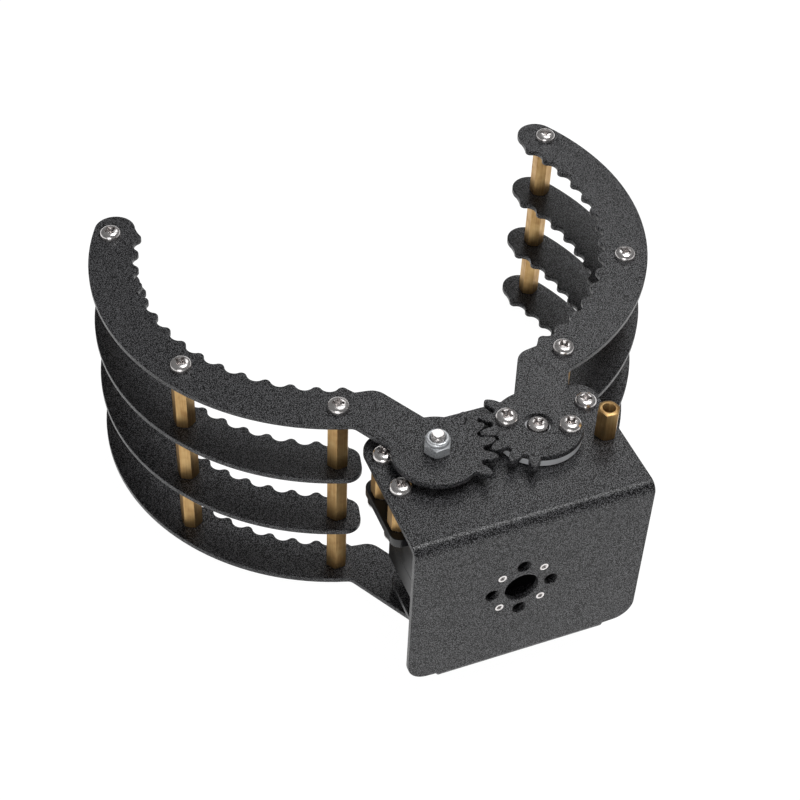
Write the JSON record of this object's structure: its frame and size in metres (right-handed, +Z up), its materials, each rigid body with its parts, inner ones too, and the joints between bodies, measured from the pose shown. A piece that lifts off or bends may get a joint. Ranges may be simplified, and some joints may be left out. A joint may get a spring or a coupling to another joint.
{
  "type": "robot claw gripper",
  "caption": "Geared robot claw gripper: toothed curved fingers of layered sheet on a bent bracket, driven by a servo.",
  "frame": {"origin": "centre of the bore in the mounting face, on the outer side of the sheet", "axes": "+Y from the mounting face along the claws, +Z up along the driven shaft, +X to the right, the driven claw's side"},
  "size_m": [0.1359, 0.1229, 0.0612],
  "materials": {
    "black_sheet": "fine textured black powder coat",
    "black_plastic": "satin moulded",
    "black_rubber": "matt",
    "board": "solder resist",
    "horn_metal": "turned",
    "brass": "drawn, bright",
    "zinc": "zinc plated",
    "bush_metal": "turned",
    "bright_steel": "nickel plated"
  },
  "bodies": {
    "base": {"mounting_bracket": "black_sheet", "servo_bottom_cover": "black_plastic", "servo_middle_case": "black_plastic", "servo_top_case": "black_plastic", "servo_case_screws": "bright_steel", "servo_lead_grommet": "black_rubber", "servo_motor": "bright_steel", "servo_control_board": "board", "servo_position_sensor": "bright_steel", "servo_output_bearing": "bright_steel", "servo_ear_standoffs": "brass", "servo_ear_washers": "bright_steel", "servo_ear_screws": "bright_steel", "shelf_screws": "bright_steel", "opening_stop_post": "brass", "left_upper_pivot_bush": "bush_metal", "left_upper_pivot_bolt": "bright_steel", "left_upper_pivot_nut": "zinc", "left_lower_pivot_bush": "bush_metal", "left_lower_pivot_bolt": "bright_steel", "left_lower_pivot_nut": "zinc", "right_lower_pivot_bush": "bush_metal", "right_lower_pivot_bolt": "bright_steel", "right_lower_pivot_nut": "zinc"},
    "right_claw": {"output_gear_shaft": "brass", "servo_horn": "horn_metal", "horn_centre_screw": "bright_steel", "horn_plate_screws": "bright_steel", "right_gear_plate": "black_sheet", "right_upper_middle_plate": "black_sheet", "right_lower_middle_plate": "black_sheet", "right_bottom_plate": "black_sheet", "right_upper_spacers": "brass", "right_middle_spacers": "brass", "right_lower_spacers": "brass", "right_top_screws": "bright_steel", "right_bottom_screws": "bright_steel"},
    "left_claw": {"left_gear_plate": "black_sheet", "left_upper_middle_plate": "black_sheet", "left_lower_middle_plate": "black_sheet", "left_bottom_plate": "black_sheet", "left_upper_spacers": "brass", "left_middle_spacers": "brass", "left_lower_spacers": "brass", "left_top_screws": "bright_steel", "left_bottom_screws": "bright_steel"}
  },
  "joints": [
    {"name": "right_claw_swing", "type": "hinge", "parent": "base", "child": "right_claw", "pos_m": [0.012, 0.02275, 0], "axis": [0, 0, 1], "range_deg": [-45, 29]},
    {"name": "left_claw_swing", "type": "hinge", "parent": "base", "child": "left_claw", "pos_m": [-0.012, 0.02275, 0], "axis": [0, 0, 1], "range_deg": [-29, 45]}
  ],
  "couplings": [
    {"joint": "left_claw_swing", "follows": "right_claw_swing", "ratio": -1}
  ]
}
